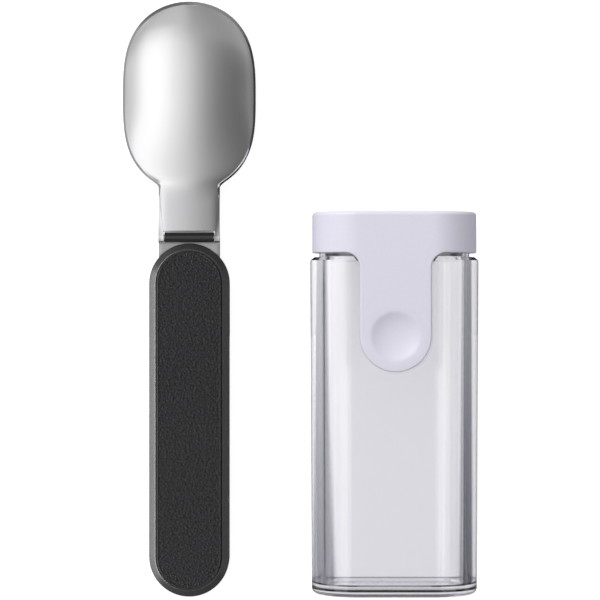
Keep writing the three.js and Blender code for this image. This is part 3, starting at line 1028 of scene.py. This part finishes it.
# one side of the wall: triangles inside the edge, rows up the lid and rings about the dimple
def lidSkin(shape, inset, topY, depth, withDimple):
    edge = lidEdge(inset)
    height = topY - lidEdgeY - inset
    rows = [lidEdgeY + inset + height * row / lidSizes["rows"] for row in range(lidSizes["rows"] + 1)]
    rightSeam = [(lidHalfGirth, y) for y in rows[1:]]
    top = [(s, topY) for s in lidColumns[-2:0:-1]]
    leftSeam = [(-lidHalfGirth, y) for y in rows[:0:-1]]
    border = edge + rightSeam + top + leftSeam
    inner = [(s, y) for s in lidColumns[1:-1] for y in rows[1:-1]]
    step = lidSizes["tongueStep"]
    reach = lidSizes["dimpleReach"] if withDimple else 0
    half = tongueHalf - inset - step / 2
    columns = lidSizes["tongueColumns"]
    across = [half * (2 * k / columns - 1) for k in range(columns + 1)]
    downwards = int((lidEdgeY - tongueEndY) / step)
    inner += [(s, tongueEndY + step * k) for s in across for k in range(downwards + 1)
              if math.hypot(s, step * k) > reach + step / 2]
    if withDimple:
        inner.append((0, tongueEndY))
        rings = lidSizes["dimpleRings"]
        for ring in range(1, rings + 1):
            inner += circle((0, tongueEndY), reach * ring / rings, lidSizes["dimpleSpokes"])
    points = [Vector(point) for point in border + inner]
    count = len(border)
    sides = [(k, (k + 1) % count) for k in range(count)]
    flat, _, triangles, *_ = delaunay_2d_cdt(points, sides, [], 1, weld["lidFlat"])
    verts = [shape.verts.new(onLid(s, y, depth + (dimple(s, y) if withDimple else 0))) for s, y in flat]
    for triangle in triangles:
        shape.faces.new([verts[k] for k in triangle])


# a round and a flat end, from the wall inwards
def closeEnd(shape, depth, endY, radius, steps):
    turns = [(depth + inset, endY - rise) for inset, rise in quarterRound(radius, steps)[::-1]]
    turns.append((depth + radius + lidSizes["flatInset"], endY))
    loops = [[onLid(s, y, level) for s in lidColumns] for level, y in turns]
    shape.faces.new(skin(shape, loops)[-1][:-1])


def caseLid():
    shape = bmesh.new()
    wall = lidSizes["wall"]
    edge = lidSizes["edgeRound"]
    inner = lidSizes["innerRound"]
    ceilingY = lidHigh.y - lidSizes["top"]
    lidSkin(shape, edge, lidHigh.y - lidSizes["topRound"], 0, True)
    lidSkin(shape, inner, ceilingY - lidSizes["ceilingRound"], wall, False)
    profile = [(rise, inset) for inset, rise in quarterRound(edge, 5)[::-1]]
    profile += [(rise, wall - inset) for inset, rise in quarterRound(inner, 3)]
    skin(shape, [[onLid(s, y, depth) for s, y in lidEdge(inset)] for inset, depth in profile])
    closeEnd(shape, 0, lidHigh.y, lidSizes["topRound"], 8)
    closeEnd(shape, wall, ceilingY, lidSizes["ceilingRound"], 5)
    bmesh.ops.remove_doubles(shape, verts=shape.verts, dist=weld["lid"])
    return solidObject("caseLid", shape)


lid = caseLid()
finishPiece(lid, caseX, lidMoulding, "lid", "lid_plastic", "case_lid", sharp=40)


# Studio

studio = {
    "cameraHeight": 0.69,
    "lens": 162.55,
    "cameraShift": -0.00025,
    "floorSize": 6.0,
    "floorDrop": 0.00005,  # keeps the set clear of it
    "floorColour": (0.55, 0.55, 0.56, 1),
    "floorRoughness": 0.9,
    "floorGloss": 0.1,
    "floorGlow": 0.62,  # a light table under the set
    "floorSeen": 0.85,  # and as the camera sees it
    "surround": 0.15,
    "backdrop": 1.0,
}
# the steel's own sky: brightness by the slope at which it is seen, across the spoon and along it
steelSky = {
    "height": 0.6,
    "size": 12.0,
    "parts": (
        {  # broad light, falling off to the left
            "across": ((-10, 0.22), (-5, 0.18), (-2.9, 0.07), (-1.8, 0.04), (-1.2, 0.07), (-0.85, 0.13),
                       (-0.55, 0.24), (-0.3, 0.41), (-0.1, 0.62), (0.1, 0.82), (0.32, 0.9), (0.9, 0.9),
                       (2.9, 0.74), (10, 0.7)),
            "along": ((-10, 0.55), (-1.4, 0.66), (-0.95, 0.72), (-0.64, 0.83), (-0.4, 0.93), (0, 1.0),
                      (0.6, 0.95), (0.9, 0.92), (1.6, 0.85), (2.4, 0.5), (3.6, 0.25), (10, 0.15)),
        },
        {  # tall panel to the right
            "across": ((-10, 0), (0.1, 0), (0.32, 0.1), (0.6, 0.34), (0.9, 0.46), (1.5, 0.44), (2.1, 0.16),
                       (2.8, 0), (10, 0)),
            "along": ((-10, 0), (-1.6, 0), (-0.9, 0.75), (-0.5, 1), (1.7, 1), (2.4, 0.4), (3.6, 0), (10, 0)),
        },
        {  # faint light from low on the left, beyond the tip
            "across": ((-10, 0.2), (-2.5, 0.24), (-1.2, 0.2), (-0.7, 0.17), (-0.4, 0.1), (-0.1, 0), (10, 0)),
            "along": ((-10, 1), (-0.9, 1), (-0.3, 0.3), (0.05, 0.05), (0.4, 0), (10, 0)),
        },
    ),
}
# sheets of painted shade and light that the camera doesn't see itself: one under the case shows through its
# clear wall, those on the floor give painted dark reflections in the bowl's rim and the case's edges, and one
# hung over the neck paints shade into its reflection; all in millimetres
film = {
    "height": 0.3,
    "reach": 500,
    "tint": 0.92,  # below 1 is bluer where the film is darker
    "under": (1.15, 0.96),  # beside the case's flat back, at the lid and at the base; above 1 is painted light where the lid's shadow falls
    "underStart": (9, 15),
    "leftEdge": (-25.2, -17.5),  # where it darkens on the left
    "leftShade": (0.52, 0.3),
    "rightEdge": (27, 23),
    "rightShade": (0.26, 0.1),
    "softIn": 2.5,
    "softOut": 1.8,
    "sideEnd": (52, 64),  # the shade beside the case ends here
    "baseShades": (0.7, 0.9, 0.3, 0.26),  # under the outer edge, base and bay's corner, and in front
    "baseSteps": (1.0, 0.15, 0.6),  # the outer edge's width, and the corner's place from the bay's floor
    "frontStart": (24, 36),
    "mouthShade": 0.05,  # under the lid
    "rimShade": (0.4, 0.03),  # to the left of the bowl and to its right
    "edgeShade": 0.22,  # round the case
    "rimEnd": 25,  # below the hinge
    "rimMiddle": 0.1,
    "caseMargin": (16, 4),  # on the left and at the base
    "neckShade": 0.82,
    "neckFade": (33, 26),
    "neckHeight": 11,
    "neckHalf": 9,
}
# steps and counts of the films' rows and columns
filmGrid = {
    "columns": (0.5, 131),  # from the case's middle to each side
    "farColumn": 120,
    "front": (3, 13),
    "base": (0.1, 41),
    "sides": (3, 26),
    "sideStart": 6,
    "mouth": 0.05,
    "neck": (1, 18),
}


def easeStep(value, start, end):
    share = min(1, max(0, (value - start) / (end - start)))
    return share * share * (3 - 2 * share)


# painted shade and light on the floor under the case, seen through its clear wall: darker bands beside it,
# dark lines at its base, nearly black under the lid, and brighter than the floor by the lid
def caseShadingFilm(x, y):
    u = x - caseX
    share = min(1, max(0, (lidEdgeY - y) / (lidEdgeY - caseLow.y)))
    shade = blend(1, blend(*film["under"], share), easeStep(abs(u), *film["underStart"]))
    for beyond, level in ((blend(*film["leftEdge"], share) - u, film["leftShade"]),
                          (u - blend(*film["rightEdge"], share), film["rightShade"])):
        shade *= blend(1, blend(*level, share), easeStep(beyond, -film["softIn"], film["softOut"]))
    shade = blend(shade, 1, easeStep(abs(u), *film["sideEnd"]))
    outer, under, corner, front = film["baseShades"]
    edge, start, end = film["baseSteps"]
    shade *= blend(1, front, easeStep(caseLow.y - y, *film["frontStart"]))
    rise = y - caseLow.y
    if 0 < rise < edge:
        shade *= outer
    elif edge <= rise < caseSizes["floor"] + start:
        shade *= under
    elif edge <= rise < caseSizes["floor"] + end:
        shade *= corner
    if y > lidEdgeY - lidSizes["wall"] and abs(u) < (caseHigh.x - caseLow.x) / 2:
        shade *= film["mouthShade"]
    return shade


# painted dark reflection round the case, the same everywhere
def edgeShadeFilm(x, y):
    return film["edgeShade"]


# painted dark reflection round the bowl, lighter to its left than to its right
def rimShadeFilm(x, y):
    return film["rimShade"][x > spoonX]


# painted shade in the neck's reflection: a small sheet over the neck, clear towards the bowl
def neckShadeFlag(x, y):
    return blend(1, film["neckShade"], easeStep(y, *film["neckFade"]))


# one level as the camera sees it and another for the light on the set
def seenLevel(tree, seen, unseen):
    isSeen = Term(tree, tree.nodes.new("ShaderNodeLightPath").outputs["Is Camera Ray"])
    return isSeen * (seen - unseen) + unseen


def addFloor():
    shape = bmesh.new()
    bmesh.ops.create_grid(shape, x_segments=1, y_segments=1, size=studio["floorSize"] / 2)
    mesh = bpy.data.meshes.new("floor")
    shape.to_mesh(mesh)
    shape.free()
    finish, tree, shader = newFinish("pale floor")
    setInputs(shader, {"Base Color": studio["floorColour"], "Roughness": studio["floorRoughness"],
                       "Specular IOR Level": studio["floorGloss"], "Emission Color": (1, 1, 1, 1)})
    glow = seenLevel(tree, studio["floorSeen"], studio["floorGlow"])
    link(tree, glow, shader.inputs["Emission Strength"])
    mesh.materials.append(finish)
    floor = addObject("floor", mesh)
    floor.location.z = -studio["floorDrop"]
    return floor


# a sheet that passes on the light behind it times its shade, seen only by the given kind of ray: painted
# shade, and painted light where the shade is above 1
def addFilm(name, columns, rows, shadeAt, kind, height=film["height"]):
    shape = bmesh.new()
    layer = shape.verts.layers.float_color.new("shade")
    grid = skin(shape, [[(x * mm, y * mm, height * mm) for x in columns] for y in rows])
    for y, verts in zip(rows, grid):
        for x, vert in zip(columns, verts):
            shade = shadeAt(x, y)
            vert[layer] = (shade, shade, shade ** film["tint"], 1)
    sheet = solidObject(name, shape)
    finish, tree, shader = newFinish(name)
    tree.nodes.remove(shader)
    shade = tree.nodes.new("ShaderNodeAttribute")
    shade.attribute_name = "shade"
    clear = tree.nodes.new("ShaderNodeBsdfTransparent")
    link(tree, shade.outputs["Color"], clear.inputs["Color"])
    link(tree, clear.outputs[0], tree.nodes["Material Output"].inputs["Surface"])
    sheet.data.materials.append(finish)
    sheet.visible_camera = False
    sheet.visible_diffuse = False
    sheet.visible_shadow = False
    sheet.visible_glossy = kind == "glossy"
    sheet.visible_transmission = kind == "transmission"


def filmSteps(name, first=0):
    step, count = filmGrid[name]
    return [step * k for k in range(first, first + count)]


def addFilms():
    reach = film["reach"]
    right = filmSteps("columns")
    left = [-u for u in right[:0:-1]]
    far = filmGrid["farColumn"]
    columns = [caseX + u for u in (-reach, -far, *left, *right, far, reach)]
    rows = [caseLow.y - reach]
    rows += [caseLow.y - d for d in filmSteps("front", 1)]
    rows += [caseLow.y + d for d in filmSteps("base")]
    rows += [caseLow.y + filmGrid["sideStart"] + d for d in filmSteps("sides")]
    mouthY = lidEdgeY - lidSizes["wall"]
    rows += [mouthY - filmGrid["mouth"], mouthY + filmGrid["mouth"], caseHigh.y]
    addFilm("caseShadingFilm", columns, sorted(rows), caseShadingFilm, "transmission")
    middle = film["rimMiddle"]
    across = [headLow.x - reach, spoonX - middle, spoonX + middle, headHigh.x + reach]
    rimStart = pivot.y - film["rimEnd"]
    addFilm("rimShadeFilm", across, [rimStart, headHigh.y + reach], rimShadeFilm, "glossy")
    margin, below = film["caseMargin"]
    beside = [caseLow.x - margin, headHigh.x + reach]
    addFilm("edgeShadeFilm", beside, [caseLow.y - below, rimStart], edgeShadeFilm, "glossy")
    half = film["neckHalf"]
    neckRows = [pivot.y + d for d in filmSteps("neck", 1)]
    addFilm("neckShadeFlag", [spoonX - half, spoonX + half], neckRows, neckShadeFlag, "glossy", film["neckHeight"])


# an area lamp that lights only the given pieces
def addLamp(name, place, size, power, pieces):
    light = bpy.data.lights.new(name, "AREA")
    light.shape = "RECTANGLE"
    light.size, light.size_y = size
    light.energy = power
    lamp = addObject(name, light)
    lamp.location = place
    lamp.visible_camera = False
    group = bpy.data.collections.new(name + " set")
    for piece in pieces:
        group.objects.link(piece)
    lamp.light_linking.receiver_collection = group
    return lamp


def slopeRamp(tree, slope, stops):
    reach = steelSky["size"] / 2 / steelSky["height"]
    peak = max(level for _, level in stops)
    ramp = tree.nodes.new("ShaderNodeValToRGB")
    ramp.color_ramp.interpolation = "EASE"
    points = ramp.color_ramp.elements
    for k, (at, level) in enumerate(stops):
        place = at / reach / 2 + 0.5
        point = points[0] if k == 0 else points[-1] if k == len(stops) - 1 else points.new(place)
        point.position = place
        point.color = (level / peak, level / peak, level / peak, 1)
    link(tree, slope, ramp.inputs["Fac"])
    return Term(tree, ramp.outputs["Color"]) * peak


def addSteelSky(*pieces):
    size = steelSky["size"]
    place = (spoonX * mm, 0, steelSky["height"])
    light = addLamp("steelSky", place, (size, size), math.pi * size ** 2, pieces).data
    light.use_nodes = True
    tree = light.node_tree
    split = tree.nodes.new("ShaderNodeSeparateXYZ")
    link(tree, tree.nodes.new("ShaderNodeNewGeometry").outputs["Parametric"], split.inputs[0])
    levels = []
    for part in steelSky["parts"]:
        across = slopeRamp(tree, split.outputs["X"], part["across"])
        levels.append(across * slopeRamp(tree, split.outputs["Y"], part["along"]))
    link(tree, sum(levels[1:], levels[0]), tree.nodes["Emission"].inputs["Strength"])


def addSurround():
    world = bpy.data.worlds.new("surround")
    world.use_nodes = True
    tree = world.node_tree
    back = tree.nodes["Background"]
    link(tree, seenLevel(tree, studio["backdrop"], studio["surround"]), back.inputs["Strength"])
    setInputs(back, {"Color": (1, 1, 1, 1)})
    bpy.context.scene.world = world


def addCamera():
    lens = bpy.data.cameras.new("camera")
    lens.lens = studio["lens"]
    camera = addObject("camera", lens)
    camera.location = (0, studio["cameraShift"], studio["cameraHeight"])
    bpy.context.scene.camera = camera


floor = addFloor()
addFilms()
addSurround()
addCamera()
softboxes = {
    "overhead": {"place": (0, 0, 1.3), "size": (1.6, 1.6), "power": 6,
                 "pieces": (floor, body, lid, shell, cover)},
    "key": {"place": (-0.6, 0.7, 0.8), "size": (0.9, 0.7), "power": 11.5, "pieces": (floor, body, lid)},
    "bevelLeft": {"place": (-0.8, -0.15, 0.72), "size": (1.0, 0.4), "power": 14, "pieces": (shell, cover)},
    "bevelRight": {"place": (0.9, -0.1, 0.5), "size": (1.0, 0.4), "power": 1.1, "pieces": (shell, cover)},
    "crestLeft": {"place": (-0.55, 0, 0.95), "size": (1.2, 0.12), "power": 18, "pieces": (cover,)},
    "gripRake": {"place": (-1.0, -0.15, 0.46), "size": (1.0, 0.4), "power": 18.5, "pieces": (grip,)},
    "caseLeft": {"place": (-0.84, 0, 0.9), "size": (1.4, 0.8), "power": 6.5, "pieces": (body,)},
    "caseRight": {"place": (0.86, 0, 0.9), "size": (1.4, 0.8), "power": 5.5, "pieces": (body,)},
}
for name, box in softboxes.items():
    towards = -Vector(box["place"])
    addLamp(name, **box).rotation_euler = towards.to_track_quat("-Z", "Y").to_euler()
addSteelSky(head, spring, pin)
bpy.context.scene.view_settings.view_transform = "Standard"
print("studio set")
